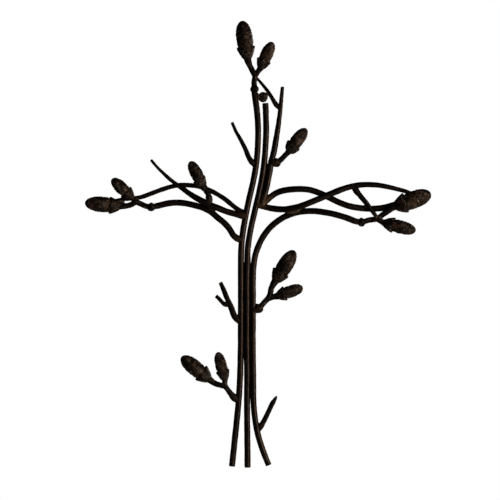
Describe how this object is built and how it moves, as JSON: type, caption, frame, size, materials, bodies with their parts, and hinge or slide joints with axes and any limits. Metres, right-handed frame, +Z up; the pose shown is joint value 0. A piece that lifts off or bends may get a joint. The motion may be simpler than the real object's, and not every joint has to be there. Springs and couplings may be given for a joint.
{
  "type": "wall cross",
  "caption": "Open wall cross of bent, welded round bar and tapered twigs with cast willow branches and catkins, in a dark bronze finish, hung on a boss near its top",
  "frame": {"origin": "middle of the hanging boss's back, on the wall plane", "axes": "+Z up along the upright, front towards -Y, +X to the right as seen from the front"},
  "size_m": [0.3465, 0.0214, 0.4464],
  "materials": {
    "bronzed_bar": "dark bronze, satin",
    "bronzed_casting": "dark bronze, rough cast"
  },
  "bodies": {
    "root": {"left_stem": "bronzed_bar", "middle_stem": "bronzed_bar", "right_stem_arm": "bronzed_bar", "right_upper_stem": "bronzed_bar", "left_arm": "bronzed_bar", "left_wave": "bronzed_bar", "left_twig": "bronzed_bar", "right_wave_high": "bronzed_bar", "right_wave_low": "bronzed_bar", "right_strut": "bronzed_bar", "top_diagonal_twig": "bronzed_bar", "top_left_twig": "bronzed_bar", "lower_left_twig": "bronzed_bar", "lower_right_thorn": "bronzed_bar", "hanging_boss": "bronzed_bar", "top_branch": "bronzed_casting", "left_arm_branch": "bronzed_casting", "right_arm_branch": "bronzed_casting", "lower_right_branch": "bronzed_casting", "lower_left_branch": "bronzed_casting", "upper_right_catkin": "bronzed_casting", "left_twig_catkin": "bronzed_casting"}
  },
  "joints": []
}
